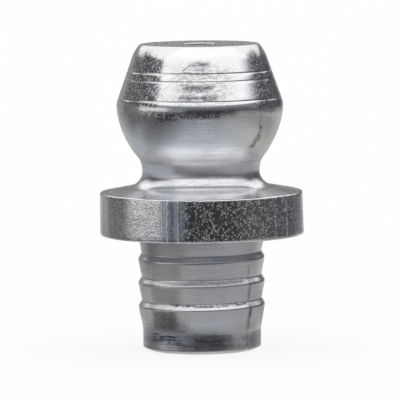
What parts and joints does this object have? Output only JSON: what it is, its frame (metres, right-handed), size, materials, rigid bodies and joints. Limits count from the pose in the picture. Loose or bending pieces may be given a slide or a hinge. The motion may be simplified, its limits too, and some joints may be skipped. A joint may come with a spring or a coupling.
{
  "type": "grease nipple",
  "caption": "Straight drive-in grease nipple with a coupler head, round flange, barbed press-in shank and a spring-loaded check ball.",
  "frame": {"origin": "on the nipple's axis at the underside of the flange, the face that seats on the machine", "axes": "+Z along the nipple's axis, from the shank to the head; the part is round about Z, so X and Y are free"},
  "size_m": [0.0078, 0.0078, 0.0119],
  "materials": {
    "body_steel": "turned, bright zinc plated",
    "ball_steel": "polished bearing steel",
    "spring_steel": "drawn spring wire, lightly oiled"
  },
  "bodies": {
    "fitting": {"nipple_body": "body_steel", "spring": "spring_steel"},
    "ball": {"check_ball": "ball_steel"}
  },
  "joints": [
    {"name": "ball_lift", "type": "slide", "parent": "fitting", "child": "ball", "axis": [0, 0, -1], "range_m": [0, 0.0064], "stiffness_N_per_m": 1700, "springref_m": -0.0006, "deforming": ["spring"]}
  ]
}
